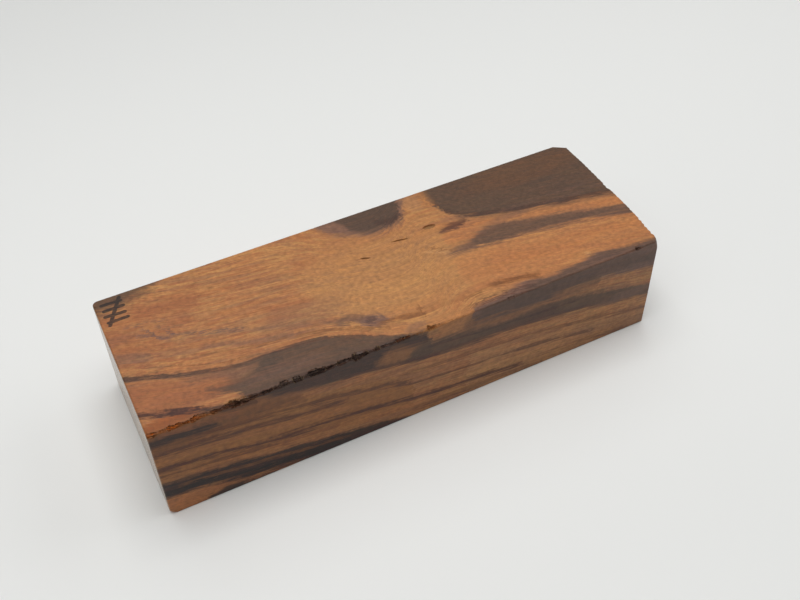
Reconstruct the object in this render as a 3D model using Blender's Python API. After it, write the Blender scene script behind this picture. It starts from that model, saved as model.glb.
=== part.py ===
# A sawn block of desert ironwood, one solid piece of wood lying on its widest face.
# Units are metres. +X runs along the grain, +Y to the back and +Z up.
# The origin is the middle of the bottom face.

import math
import random

import bmesh
import bpy
from mathutils import Vector

MM = 0.001

# Driving dimensions of the squared block.
LENGTH = 130.0 * MM
WIDTH = 43.7 * MM
HEIGHT = 29.0 * MM

# Faces of the squared block.
LEFT = -LENGTH / 2
RIGHT = LENGTH / 2
FRONT = -WIDTH / 2
BACK = WIDTH / 2

# Edges and corners as the saw and handling left them.
EASED_EDGE = 0.35 * MM
EASED_EDGE_STEPS = 2
BACK_LEFT_RADIUS = 1.3 * MM
BACK_LEFT_STEPS = 5
BACK_RIGHT_CUT = (3.6 * MM, 2.3 * MM)
WORN_FOOT_RADIUS = 1.7 * MM
WORN_FOOT_STEPS = 4
BROKEN_CORNER_REACH = (1.5 * MM, 2.4 * MM, 3.0 * MM)

# The top front edge is torn along the grain. Each tear is its start and end, measured in millimetres
# from the left end, then its depth into the top face and down the front face.
TEARS = (
    (-1.0, 4.5, 0.55, 0.30),
    (4.0, 9.5, 0.80, 0.55),
    (9.0, 14.0, 0.95, 0.45),
    (13.5, 18.0, 0.70, 0.40),
    (17.5, 25.5, 1.15, 0.85),
    (25.0, 29.5, 0.50, 0.35),
    (29.5, 33.0, 1.25, 0.45),
    (32.5, 36.0, 0.75, 0.60),
    (36.0, 42.5, 1.25, 0.75),
    (43.0, 47.0, 0.80, 0.40),
    (46.5, 51.5, 1.05, 0.95),
    (52.0, 57.0, 0.40, 0.30),
    (57.0, 62.5, 0.55, 0.30),
    (65.0, 70.0, 0.70, 0.35),
    (86.0, 90.5, 0.30, 0.30),
    (122.2, 124.8, 0.65, 0.55),
)
SOFT_EDGE_TOP = 0.45 * MM
SOFT_EDGE_FRONT = 0.35 * MM
TEAR_STATION = 0.65 * MM
TEAR_JITTER = 0.16
TEAR_SEED = 11
HOLLOW_POWER = 0.8
ROUND_POWER = 2.6
TEAR_ARC_STEPS = 4

# The right end is left from the saw. The profile gives how far it stands back at a distance from the
# back face, both in millimetres, and the kerf marks stand upright on it.
END_PROFILE = (
    (0.0, 0.55),
    (5.0, 0.45),
    (12.0, 0.25),
    (19.0, 0.30),
    (20.8, 0.42),
    (22.4, 0.12),
    (28.5, 0.00),
    (31.5, 0.18),
    (36.0, 0.35),
    (40.5, 0.72),
    (43.7, 0.62),
)
KERF_PITCH = 1.4 * MM
KERF_DEPTH = (0.12 * MM, 0.34 * MM)
KERF_FADE = 0.35
KERF_LEAN = 0.035
KERF_SEED = 5

# Drying checks and one small knot hole in the top face: millimetres from the left end and from the back
# face, then length, width and depth, and the turn in degrees.
CHECKS = (
    (62.9, 16.1, 2.8, 0.60, 0.7, 20.0),
    (73.2, 14.2, 4.8, 0.60, 0.7, 10.0),
    (81.8, 13.2, 3.6, 1.60, 0.9, 3.0),
)
CHECK_SIDES = 14
CHECK_RINGS = 6

# How far a cutter stands out of the faces that it cuts.
MARGIN = 2.0 * MM

WOOD_COLOUR = (0.330, 0.158, 0.078, 1.0)
WOOD_ROUGHNESS = 0.55


def clear_scene():
    for thing in list(bpy.data.objects):
        bpy.data.objects.remove(thing, do_unlink=True)


def wood_material():
    wood = bpy.data.materials.new("ironwood")
    wood.use_nodes = True
    shader = wood.node_tree.nodes["Principled BSDF"]
    shader.inputs["Base Color"].default_value = WOOD_COLOUR
    shader.inputs["Roughness"].default_value = WOOD_ROUGHNESS
    shader.inputs["Metallic"].default_value = 0.0
    return wood


def add_object(name, shape):
    mesh = bpy.data.meshes.new(name)
    bmesh.ops.recalc_face_normals(shape, faces=shape.faces)
    shape.to_mesh(mesh)
    shape.free()
    thing = bpy.data.objects.new(name, mesh)
    bpy.context.collection.objects.link(thing)
    return thing


# Plan outline of the block, counter-clockwise from the front left corner.
def plan_outline():
    cut_x, cut_y = BACK_RIGHT_CUT
    points = [
        Vector((LEFT, FRONT, 0)),
        Vector((RIGHT, FRONT, 0)),
        Vector((RIGHT, BACK - cut_y, 0)),
        Vector((RIGHT - cut_x, BACK, 0)),
    ]
    centre = Vector((LEFT + BACK_LEFT_RADIUS, BACK - BACK_LEFT_RADIUS, 0))
    for step in range(BACK_LEFT_STEPS + 1):
        turn = math.pi / 2 * (1 + step / BACK_LEFT_STEPS)
        points.append(centre + BACK_LEFT_RADIUS * Vector((math.cos(turn), math.sin(turn), 0)))
    return points


def sawn_blank():
    shape = bmesh.new()
    floor = shape.faces.new([shape.verts.new(point) for point in plan_outline()])
    raised = bmesh.ops.extrude_face_region(shape, geom=[floor])["geom"]
    lid = [item for item in raised if isinstance(item, bmesh.types.BMVert)]
    bmesh.ops.translate(shape, verts=lid, vec=(0, 0, HEIGHT))
    foot = min(shape.verts, key=lambda vert: (vert.co - Vector((LEFT, FRONT, 0))).length)
    bmesh.ops.bevel(
        shape,
        geom=[foot],
        offset=WORN_FOOT_RADIUS,
        offset_type="OFFSET",
        segments=WORN_FOOT_STEPS,
        profile=0.5,
        affect="VERTICES",
    )
    return add_object("ironwood_block", shape)


def ease_edges(block):
    ease = block.modifiers.new("eased_edges", "BEVEL")
    ease.width = EASED_EDGE
    ease.segments = EASED_EDGE_STEPS
    ease.limit_method = "ANGLE"
    ease.angle_limit = math.radians(25)


# A closed skin over rings of points that all have the same count.
def loft(rings):
    shape = bmesh.new()
    loops = [[shape.verts.new(point) for point in ring] for ring in rings]
    for one, two in zip(loops, loops[1:]):
        for k in range(len(one)):
            after = (k + 1) % len(one)
            shape.faces.new((one[k], one[after], two[after], two[k]))
    shape.faces.new(loops[0])
    shape.faces.new(loops[-1])
    return shape


# Depth of all the tears at one place along the edge, into the top and down the front, in metres.
def tear_depth(place):
    into_top = 0.0
    down_front = 0.0
    for start, end, top, front in TEARS:
        along = (place - start) / (end - start)
        if 0 < along < 1:
            swell = math.sin(math.pi * along ** 0.7) ** 0.6
            into_top = max(into_top, top * swell)
            down_front = max(down_front, front * swell)
    return into_top * MM, down_front * MM


def torn_edge_cutter():
    draw = random.Random(TEAR_SEED)
    count = round((LENGTH + 2 * MARGIN) / TEAR_STATION)
    rings = []
    for k in range(count + 1):
        x = LEFT - MARGIN + k * TEAR_STATION
        into_top, down_front = tear_depth((x - LEFT) / MM)
        torn = min(1.0, into_top / SOFT_EDGE_TOP)
        into_top = SOFT_EDGE_TOP + into_top * (1 + draw.uniform(-TEAR_JITTER, TEAR_JITTER))
        down_front = SOFT_EDGE_FRONT + down_front * (1 + draw.uniform(-TEAR_JITTER, TEAR_JITTER))
        power = ROUND_POWER + torn * (HOLLOW_POWER - ROUND_POWER)
        ring = [
            Vector((x, FRONT - MARGIN, HEIGHT - down_front)),
            Vector((x, FRONT - MARGIN, HEIGHT + MARGIN)),
            Vector((x, FRONT + into_top, HEIGHT + MARGIN)),
        ]
        for step in range(TEAR_ARC_STEPS + 1):
            turn = math.pi / 2 * step / TEAR_ARC_STEPS
            inward = into_top * math.cos(turn) ** power
            downward = down_front * math.sin(turn) ** power
            ring.append(Vector((x, FRONT + inward, HEIGHT - downward)))
        rings.append(ring)
    return add_object("torn_edge_cutter", loft(rings))


def end_stand_back(from_back):
    for (near, near_depth), (far, far_depth) in zip(END_PROFILE, END_PROFILE[1:]):
        if from_back <= far:
            along = max(0.0, (from_back - near) / (far - near))
            return near_depth + along * (far_depth - near_depth)
    return END_PROFILE[-1][1]


# The kerf marks are uneven upright grooves. They lean slightly, and fade to the back of the block.
def sawn_end_cutter():
    draw = random.Random(KERF_SEED)
    count = 2 * round((WIDTH + 2 * MARGIN) / KERF_PITCH)
    rings = []
    for k in range(count + 1):
        y = BACK + MARGIN - k * KERF_PITCH / 2
        stand_back = end_stand_back((BACK - y) / MM) * MM
        if k % 2:
            stand_back += draw.uniform(*KERF_DEPTH) * max(KERF_FADE, min(1.0, (BACK - y) / BACK))
        foot_y = y - KERF_LEAN * HEIGHT
        rings.append([
            Vector((RIGHT + MARGIN, foot_y, -MARGIN)),
            Vector((RIGHT + MARGIN, y, HEIGHT + MARGIN)),
            Vector((RIGHT - stand_back, y, HEIGHT + MARGIN)),
            Vector((RIGHT - stand_back, foot_y, -MARGIN)),
        ])
    return add_object("sawn_end_cutter", loft(rings))


# A plane cuts the corner off at the given reach along each edge.
def broken_corner_cutter():
    corner = Vector((RIGHT, FRONT, HEIGHT))
    outward = Vector((1, -1, 1))
    spread = 1 + MARGIN * sum(1 / reach for reach in BROKEN_CORNER_REACH)
    tip = corner + MARGIN * outward
    points = [tip]
    for axis in range(3):
        point = tip.copy()
        point[axis] -= outward[axis] * BROKEN_CORNER_REACH[axis] * spread
        points.append(point)
    shape = bmesh.new()
    verts = [shape.verts.new(point) for point in points]
    for trio in ((0, 1, 2), (0, 2, 3), (0, 3, 1), (1, 3, 2)):
        shape.faces.new([verts[k] for k in trio])
    return add_object("broken_corner_cutter", shape)


def check_cutter(number, check):
    from_left, from_back, length, width, depth, turn = check
    shape = bmesh.new()
    bmesh.ops.create_uvsphere(shape, u_segments=CHECK_SIDES, v_segments=CHECK_RINGS, radius=0.5)
    bmesh.ops.scale(shape, verts=shape.verts, vec=(length * MM, width * MM, 2 * depth * MM))
    cutter = add_object(f"check_cutter_{number}", shape)
    cutter.location = (LEFT + from_left * MM, BACK - from_back * MM, HEIGHT)
    cutter.rotation_euler.z = math.radians(-turn)
    return cutter


def cut(block, cutter):
    cutter.hide_render = True
    cutter.display_type = "WIRE"
    notch = block.modifiers.new(cutter.name, "BOOLEAN")
    notch.operation = "DIFFERENCE"
    notch.solver = "EXACT"
    notch.object = cutter


def main():
    clear_scene()
    block = sawn_blank()
    block.data.materials.append(wood_material())
    ease_edges(block)
    cut(block, torn_edge_cutter())
    cut(block, sawn_end_cutter())
    cut(block, broken_corner_cutter())
    for number, check in enumerate(CHECKS, start=1):
        cut(block, check_cutter(number, check))


main()
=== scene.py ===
import math
import random
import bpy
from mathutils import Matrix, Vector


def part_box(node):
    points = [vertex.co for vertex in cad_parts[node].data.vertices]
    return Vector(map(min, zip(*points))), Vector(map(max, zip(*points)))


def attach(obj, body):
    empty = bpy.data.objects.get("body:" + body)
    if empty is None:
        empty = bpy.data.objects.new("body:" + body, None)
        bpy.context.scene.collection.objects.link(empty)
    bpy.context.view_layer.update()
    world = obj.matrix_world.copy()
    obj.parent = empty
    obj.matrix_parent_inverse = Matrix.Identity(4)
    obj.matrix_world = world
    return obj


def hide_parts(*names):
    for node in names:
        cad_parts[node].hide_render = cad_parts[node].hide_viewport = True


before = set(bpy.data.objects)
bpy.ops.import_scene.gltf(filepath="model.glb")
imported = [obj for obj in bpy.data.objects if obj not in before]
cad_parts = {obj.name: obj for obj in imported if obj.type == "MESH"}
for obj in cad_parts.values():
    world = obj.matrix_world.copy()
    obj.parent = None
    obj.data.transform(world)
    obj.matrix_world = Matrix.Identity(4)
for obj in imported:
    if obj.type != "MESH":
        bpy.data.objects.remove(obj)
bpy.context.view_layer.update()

from types import SimpleNamespace

import bmesh
import bpy
from mathutils import Matrix, Vector, noise

mm = 0.001
blockLow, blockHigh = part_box("ironwood_block")     # +X runs along the grain, +Y to the back, +Z up
length, width, height = (blockHigh - blockLow) / mm


# One output socket, so that the maths of a shader or a geometry tree reads as plain sums.
class Wire:
    def __init__(self, graph, socket):
        self.graph = graph
        self.socket = socket

    def __rsub__(self, other):
        return self.graph.node("ShaderNodeMath", {"operation": "SUBTRACT"}, [other, self])

    # Rises smoothly from 0 to a top between two values, or falls where the first is the greater.
    def rise(self, start, end, top=1.0):
        sockets = {"Value": self, "From Min": start, "From Max": end, "To Max": top}
        return self.graph.node("ShaderNodeMapRange", {"interpolation_type": "SMOOTHSTEP"}, sockets)

    # A smooth curve through points between 0 and 1, level past its ends.
    def curve(self, points):
        return self.graph.node("ShaderNodeFloatCurve", {"points": points}, {"Value": self})

    # The same through points in the wire's own units.
    def path(self, points):
        first, *between, last = points
        low = min(points.values())
        spread = max(max(points.values()) - low, 0.001)
        placed = [((x - first) / (last - first), (y - low) / spread) for x, y in points.items()]
        sockets = {"Value": self, "From Min": first, "From Max": last}
        return self.graph.node("ShaderNodeMapRange", None, sockets).curve(placed) * spread + low


# The sums that a wire can take part in.
sums = {
    "__add__": "ADD", "__radd__": "ADD", "__sub__": "SUBTRACT", "__mul__": "MULTIPLY", "__rmul__": "MULTIPLY",
    "__truediv__": "DIVIDE", "least": "MINIMUM", "most": "MAXIMUM", "size": "ABSOLUTE", "floor": "FLOOR",
    "above": "GREATER_THAN", "below": "LESS_THAN", "root": "SQRT",
}


def wireSum(operation):
    return lambda wire, *others: wire.graph.node("ShaderNodeMath", {"operation": operation}, [wire, *others])


for name, operation in sums.items():
    setattr(Wire, name, wireSum(operation))


# Adds nodes to one tree: a node's settings first, then the values or links of its sockets.
class Graph:
    def __init__(self, tree):
        self.tree = tree
        self.inputs = {}     # the identifiers of a geometry tree's named inputs
        self.given = {}      # and the wires that they come in on

    def node(self, kind, settings=None, sockets=None, output=0):
        made = self.tree.nodes.new(kind)
        for name, value in (settings or {}).items():
            if name == "points":
                self.bend(made, value)
            else:
                setattr(made, name, value)
        self.feed(made, sockets or [])
        return Wire(self, made.outputs[output])

    def feed(self, made, sockets):
        for name, value in sockets.items() if isinstance(sockets, dict) else enumerate(sockets):
            if isinstance(value, Wire):
                self.tree.links.new(value.socket, made.inputs[name])
            else:
                made.inputs[name].default_value = value

    def bend(self, made, points):
        made.mapping.extend = "HORIZONTAL"
        made.mapping.use_clip = False
        curve = made.mapping.curves[0]
        curve.points[0].location = points[0]
        curve.points[-1].location = points[-1]
        for point in points[1:-1]:
            curve.points.new(*point)
        for point in curve.points:
            point.handle_type = "AUTO_CLAMPED"
        made.mapping.update()

    def vector(self, x, y, z):
        return self.node("ShaderNodeCombineXYZ", None, [x, y, z])

    def split(self, vector):
        parts = self.node("ShaderNodeSeparateXYZ", None, [vector]).socket.node.outputs
        return [Wire(self, part) for part in parts]

    def noise(self, x, y, z, detail=2.0):
        sockets = {"Vector": self.vector(x, y, z), "Scale": 1.0, "Detail": detail}
        return self.node("ShaderNodeTexNoise", None, sockets)

    def blend(self, factor, one, two, kind="MIX"):
        settings = {"data_type": "RGBA", "blend_type": kind}
        return self.node("ShaderNodeMix", settings, {0: factor, 6: one, 7: two}, output=2)

    def vectorMaths(self, operation, *sockets):
        return self.node("ShaderNodeVectorMath", {"operation": operation}, sockets)

    def scaled(self, vector, factor):
        return self.node("ShaderNodeVectorMath", {"operation": "SCALE"}, {0: vector, "Scale": factor})

    # A random number for each point, or for each number that is handed in.
    def drawn(self, least, most, turn, **number):
        sockets = {2: least, 3: most, **number, "Seed": self.given["Seed"] + turn}
        return self.node("FunctionNodeRandomValue", {"data_type": "FLOAT"}, sockets, output=1)

    def moved(self, shape, **how):
        return self.node("GeometryNodeSetPosition", None, {"Geometry": shape, **how})


# Adds an object with this data to the scene.
def addObject(name, data):
    thing = bpy.data.objects.new(name, data)
    bpy.context.collection.objects.link(thing)
    return thing


def openMesh(thing):
    shape = bmesh.new()
    shape.from_mesh(thing.data)
    return shape


def closeMesh(shape, mesh):
    shape.to_mesh(mesh)
    shape.free()


print("camera, lights and floor")

# Worked out from the block's edges in the photograph, in the block's own frame.
cameraValues = {
    "place": (-0.0729, -0.1598, 0.1994),
    "lens": 46.2,
    "sensor": 36.0,
    "clip": (0.01, 20.0),
    "turn": -25.75,      # degrees round +Z, then the tilt up from straight down, then the roll
    "tilt": 44.18,
    "roll": -1.33,
}


def makeCamera(values):
    camera = addObject("camera", bpy.data.cameras.new("camera"))
    camera.data.lens = values["lens"]
    camera.data.sensor_width = values["sensor"]
    camera.data.clip_start, camera.data.clip_end = values["clip"]
    turns = [Matrix.Rotation(math.radians(values[name]), 4, axis)
             for name, axis in (("turn", "Z"), ("tilt", "X"), ("roll", "Z"))]
    camera.matrix_world = Matrix.Translation(values["place"]) @ turns[0] @ turns[1] @ turns[2]
    bpy.context.scene.camera = camera


# Each softbox: degrees round from the back, degrees up, metres away, side in metres and watts.
softboxes = {
    "overhead": (0, 90, 0.8, 0.6, 3.9),
    "right": (90, 36, 0.9, 0.6, 1.55),
    "back": (0, 62, 0.9, 0.6, 1.1),
    "front_left": (240, 62, 0.9, 0.6, 1.6),
    "low_back": (0, 14, 0.9, 0.5, 0.7),
    "back_right": (45, 36, 0.9, 0.5, 0.5),
    "back_left": (300, 62, 0.9, 0.5, 0.3),
    "left": (270, 36, 0.9, 0.5, 0.3),
}
studioValues = {"light": (1.0, 1.0, 0.985), "world": (0.02, 0.02, 0.02, 1.0)}


def makeSoftbox(name, turn, rise, away, side, watts):
    lamp = addObject(name, bpy.data.lights.new(name, "AREA"))
    lamp.data.shape = "SQUARE"
    lamp.data.size = side
    lamp.data.energy = watts
    lamp.data.color = studioValues["light"]
    turn = math.radians(turn)
    rise = math.radians(rise)
    flat = math.cos(rise)
    lamp.location = Vector((math.sin(turn) * flat, math.cos(turn) * flat, math.sin(rise))) * away
    lamp.rotation_euler = (-lamp.location).to_track_quat("-Z", "Y").to_euler()


def makeWorld(values):
    world = bpy.data.worlds.new("studio")
    world.use_nodes = True
    world.node_tree.nodes["Background"].inputs["Color"].default_value = values["world"]
    bpy.context.scene.world = world


# A new material, with its graph and its shader.
def newMaterial(name):
    material = bpy.data.materials.new(name)
    material.use_nodes = True
    return material, Graph(material.node_tree), material.node_tree.nodes["Principled BSDF"]


floorValues = {
    "reach": 3.0,
    "near": (0.800, 0.805, 0.800, 1.0),
    # painted shade: the far tone stands in for the light falling off towards the back
    "far": (0.66, 0.665, 0.66, 1.0),
    "shadeFalls": (0.05, 0.35),      # where painted shade darkens the floor towards the back, as the light falls off
    "roughness": 0.6,
    "specular": 0.2,
}


def makeFloor(values):
    shape = bmesh.new()
    bmesh.ops.create_grid(shape, x_segments=8, y_segments=8, size=values["reach"])
    floor = addObject("floor", bpy.data.meshes.new("floor"))
    closeMesh(shape, floor.data)
    paper, graph, shader = newMaterial("paper")
    toBack = graph.split(graph.node("ShaderNodeTexCoord", output=3))[1]
    # Painted shade: the floor darkens towards the back.
    colour = graph.blend(toBack.rise(*values["shadeFalls"]), values["near"], values["far"])
    graph.feed(shader, {
        "Base Color": colour, "Roughness": values["roughness"], "Specular IOR Level": values["specular"]})
    floor.data.materials.append(paper)


makeCamera(cameraValues)
makeWorld(studioValues)
for name, values in softboxes.items():
    makeSoftbox(name, *values)
makeFloor(floorValues)
bpy.context.scene.view_settings.view_transform = "Standard"


print("the sawn blank")

# Places on the block are millimetres from the left end, from the back face and down from the top face.
def spot(fromLeft, fromBack, down):
    return Vector((blockLow.x + fromLeft * mm, blockHigh.y - fromBack * mm, blockHigh.z - down * mm))


# A closed body with its faces turned outwards.
def keep(name, shape):
    bmesh.ops.recalc_face_normals(shape, faces=shape.faces)
    if shape.calc_volume(signed=True) < 0:
        bmesh.ops.reverse_faces(shape, faces=shape.faces)
    thing = addObject(name, bpy.data.meshes.new(name))
    closeMesh(shape, thing.data)
    return thing


# Turns what an object's modifiers make into its own plain mesh.
def settle(thing):
    bpy.context.view_layer.update()
    graph = bpy.context.evaluated_depsgraph_get()
    made = bpy.data.meshes.new_from_object(thing.evaluated_get(graph), depsgraph=graph)
    thing.modifiers.clear()
    thing.data = made


# The cut is made at a thousand times the size, where the smallest chips still come out clean.
def combine(block, tool, operation, overlapping=False):
    block.data.transform(Matrix.Scale(1 / mm, 4))
    tool.data.transform(Matrix.Scale(1 / mm, 4))
    join = block.modifiers.new("join", "BOOLEAN")
    join.operation = operation
    join.solver = "EXACT"
    join.use_self = overlapping
    join.object = tool
    settle(block)
    block.data.transform(Matrix.Scale(mm, 4))
    bpy.data.objects.remove(tool, do_unlink=True)


# Puts a Geometry Nodes tree on an object, sets its inputs and keeps the mesh that it makes.
def grow(thing, graph, values):
    modifier = thing.modifiers.new(graph.tree.name, "NODES")
    modifier.node_group = graph.tree
    for name, value in values.items():
        modifier[graph.inputs[name]] = value
    settle(thing)
    return thing


# A new tree, and the wires that its named inputs come in on.
def newTree(name, values):
    tree = bpy.data.node_groups.new(name, "GeometryNodeTree")
    graph = Graph(tree)
    tree.interface.new_socket("Geometry", in_out="INPUT", socket_type="NodeSocketGeometry")
    for entry, value in values.items():
        kind = "NodeSocketInt" if isinstance(value, int) else "NodeSocketFloat"
        graph.inputs[entry] = tree.interface.new_socket(entry, in_out="INPUT", socket_type=kind).identifier
    tree.interface.new_socket("Geometry", in_out="OUTPUT", socket_type="NodeSocketGeometry")
    start = tree.nodes.new("NodeGroupInput")
    graph.given = {socket.name: Wire(graph, socket) for socket in start.outputs if socket.name}
    return graph, graph.given


def endTree(graph, shape, material):
    real = graph.node("GeometryNodeRealizeInstances", None, [shape])
    finished = graph.node("GeometryNodeSetMaterial", None, {"Geometry": real, "Material": material})
    leave = graph.tree.nodes.new("NodeGroupOutput")
    graph.feed(leave, [finished])
    return graph


# Points at even steps along the wires that a tree is put on.
def pointsAlong(graph):
    route = graph.node("GeometryNodeMeshToCurve", None, [graph.given["Geometry"]])
    return graph.node("GeometryNodeCurveToPoints", {"mode": "LENGTH"}, {
        "Curve": route, "Length": graph.given["Spacing"] * mm})


# Copies of a shape on some of the points. Their sizes are in millimetres.
def scatter(graph, points, shape, size, turn, draw):
    return graph.node("GeometryNodeInstanceOnPoints", None, {
        "Points": points, "Instance": shape, "Rotation": turn, "Scale": graph.scaled(size, mm),
        "Selection": graph.drawn(0.0, 1.0, draw).below(graph.given["Keep"])})


blankValues = {
    "easedEdge": 0.35,
    "easedSteps": 3,
    "sharpest": 25,         # degrees between faces whose edge is eased
    "backLeftRadius": 1.3,
    "backLeftSteps": 8,
    "backRightCut": (3.6, 2.3),
    "wornFoot": (1.5, 1.5, 1.6),    # reach along each edge from the corner
    "brokenCorner": (1.8, 2.8, 3.6),
    "cell": 2.6,
    "margin": 2.0,      # how far a cutter stands out of what it cuts
}


def bisect(shape, at, across, **how):
    everything = [*shape.verts, *shape.edges, *shape.faces]
    return bmesh.ops.bisect_plane(shape, geom=everything, plane_co=at, plane_no=across, **how)["geom_cut"]


# A plane takes off a corner, at a given reach along each of its edges.
def sliceCorner(shape, corner, reaches):
    tip = spot(*corner)
    outward = Vector([1 if tip[axis] > (blockLow[axis] + blockHigh[axis]) / 2 else -1 for axis in range(3)])
    slope = Vector([outward[axis] / reaches[axis] for axis in range(3)])
    start = tip - Vector((outward.x * reaches[0] * mm, 0, 0))
    cut = bisect(shape, start, slope, clear_outer=True)
    bmesh.ops.contextual_create(shape, geom=[item for item in cut if isinstance(item, bmesh.types.BMEdge)])


def makeBlank(values):
    radius = values["backLeftRadius"]
    cutX, cutY = values["backRightCut"]
    outline = [(0, width), (length, width), (length, cutY), (length - cutX, 0)]
    for step in range(values["backLeftSteps"] + 1):
        turn = math.pi / 2 * step / values["backLeftSteps"]
        outline.append((radius * (1 - math.sin(turn)), radius * (1 - math.cos(turn))))
    shape = bmesh.new()
    bottom = shape.faces.new([shape.verts.new(spot(x, y, height)) for x, y in outline])
    raised = bmesh.ops.extrude_face_region(shape, geom=[bottom])["geom"]
    lid = [item for item in raised if isinstance(item, bmesh.types.BMVert)]
    bmesh.ops.translate(shape, verts=lid, vec=(0, 0, height * mm))
    sliceCorner(shape, (0, width, height), values["wornFoot"])
    sliceCorner(shape, (length, width, 0), values["brokenCorner"])
    blank = keep("ironwood_wood", shape)
    ease = blank.modifiers.new("eased edges", "BEVEL")
    ease.width = values["easedEdge"] * mm
    ease.segments = values["easedSteps"]
    ease.limit_method = "ANGLE"
    ease.angle_limit = math.radians(values["sharpest"])
    settle(blank)
    return blank


# Splits the faces into cells, so that the cuts leave no long slivers.
def splitCells(blank, cell):
    shape = openMesh(blank)
    for axis, reach in enumerate((length, width, height)):
        for step in range(1, math.ceil(reach / cell)):
            at = blockLow.copy()
            at[axis] += step * cell * mm
            across = Vector((0, 0, 0))
            across[axis] = 1
            bisect(shape, at, across, dist=1e-7)
    closeMesh(shape, blank.data)


print("the torn edge")

# Each tear along the front top edge: where it starts and ends, and its depth into the top and the front.
tears = [
    (-6.0, 80.0, 0.42, 0.26),       # the shallow tear under all the others
    (-1.0, 4.5, 0.55, 0.30),
    (4.0, 9.5, 0.80, 0.55),
    (9.0, 14.0, 0.95, 0.45),
    (13.5, 18.0, 0.70, 0.40),
    (17.5, 25.5, 1.15, 0.85),
    (25.0, 29.5, 0.50, 0.35),
    (29.5, 33.0, 1.05, 0.45),
    (32.5, 36.0, 0.75, 0.60),
    (36.0, 42.5, 1.10, 0.70),
    (43.0, 47.0, 0.80, 0.40),
    (46.5, 51.5, 0.95, 0.85),
    (52.0, 57.0, 0.40, 0.30),
    (57.0, 62.5, 0.55, 0.30),
    (65.0, 70.0, 0.70, 0.35),
    (86.0, 90.5, 0.30, 0.30),
    (122.2, 124.8, 0.50, 0.40),
]
tornValues = {
    "softTop": 0.32,        # rounding of the edge where nothing is torn out
    "softFront": 0.26,
    "leastCut": 0.12,
    "tearStart": 7,         # how abruptly a tear starts
    "tearEnd": 0.6,         # and how slowly it runs out
    "frontScale": 1.6,
    "station": 0.15,
    "lanes": 16,            # grooves side by side across the tear
    "lip": 0.8,             # the torn wood drops steeply at the lip in the top
    "runOut": 2.8,          # and runs out slowly down the front
    "round": 2.6,
    "fibre": (0.8, 4.2),    # length of one torn fibre
    "fibreStart": 8,
    "fibreEnd": 3,
    "relief": 0.34,
    "softRelief": 0.22,
    "bite": 0.28,           # small bites in the lips of the tear, by two sizes of noise
    "biteScales": (1.9, 5.3),
    "seed": 21,
}


def tearDepth(x):
    intoTop = 0.0
    downFront = 0.0
    for start, end, top, front in tears:
        along = (x - start) / (end - start)
        if 0 < along < 1:
            swell = min(1.0, along * tornValues["tearStart"]) * (1 - along) ** tornValues["tearEnd"]
            intoTop = max(intoTop, top * swell)
            downFront = max(downFront, tornValues["frontScale"] * front * swell)
    return intoTop, downFront


# Fibres follow each other along a lane. Each breaks off short at its start and runs out at its end.
def fibreLane(draw, values, reach):
    runs = []
    x = -values["fibre"][1]
    while x < reach:
        end = x + draw.uniform(*values["fibre"])
        runs.append((x, end, draw.uniform(-1, 1)))
        x = end
    return runs


def laneRelief(runs, x):
    for start, end, lift in runs:
        if start <= x < end:
            along = (x - start) / (end - start)
            return lift * min(1.0, along * tornValues["fibreStart"]) * (1 - along ** tornValues["fibreEnd"])
    return 0.0


def bites(x, row):
    broad, fine = tornValues["biteScales"]
    return noise.noise((x * broad, row, 0.4)) + 0.8 * noise.noise((x * fine, row + 5, 0.4))


# The profile across the edge: from the lip in the top face round to the lip in the front face.
def tornProfile(x, values, lanes):
    intoTop, downFront = tearDepth(x)
    torn = min(1.0, intoTop / values["softTop"])
    bite = values["bite"] * (0.5 + 0.8 * torn)
    intoTop = max(values["leastCut"], intoTop + values["softTop"] + bite * bites(x, 3.1))
    downFront = max(values["leastCut"], downFront + values["softFront"] + bite * bites(x, 17.9))
    lip = values["round"] + torn * (values["lip"] - values["round"])
    runOut = values["round"] + torn * (values["runOut"] - values["round"])
    relief = values["softRelief"] + torn * (values["relief"] - values["softRelief"])
    profile = []
    for lane, runs in enumerate(lanes):
        turn = math.pi / 2 * lane / (len(lanes) - 1)
        swell = 1 + relief * laneRelief(runs, x)
        profile.append((intoTop * swell * math.cos(turn) ** runOut,
                        downFront * swell * math.sin(turn) ** lip))
    return profile


def makeLanes(values):
    draw = random.Random(values["seed"])
    return [fibreLane(draw, values, length + values["fibre"][1]) for lane in range(values["lanes"])]


def tornCutter(values, lanes, margin):
    shape = bmesh.new()
    rings = []
    for k in range(math.ceil((length + 2 * margin) / values["station"]) + 1):
        x = k * values["station"] - margin
        profile = tornProfile(x, values, lanes)
        ring = [(width + margin, profile[-1][1]), (width + margin, -margin), (width - profile[0][0], -margin)]
        ring += [(width - inward, down) for inward, down in profile]
        rings.append([shape.verts.new(spot(x, y, z)) for y, z in ring])
    for one, two in zip(rings, rings[1:]):
        for k in range(len(one)):
            after = (k + 1) % len(one)
            shape.faces.new((one[k], one[after], two[after], two[k]))
    shape.faces.new(rings[0])
    shape.faces.new(rings[-1])
    return keep("torn_cutter", shape)


print("splinters")

splinterValues = {
    "Spacing": 0.9,         # along the tear, in millimetres
    "Shortest": 0.7,
    "Longest": 3.4,
    "Thinnest": 0.05,
    "Thickest": 0.14,
    "Lean": 0.22,           # radians off the grain
    "Keep": 0.75,           # how many of the places carry a splinter
    "Seed": 3,
}
# They are rooted a little under the torn surface, on these lanes, where the tear is deep enough.
splinterPlaces = {"lanes": (1, 4, 8), "station": 0.4, "leastTear": 0.3, "sunk": 0.05}
splinterInset = 0.03        # how far they stay inside the block's own box


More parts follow.
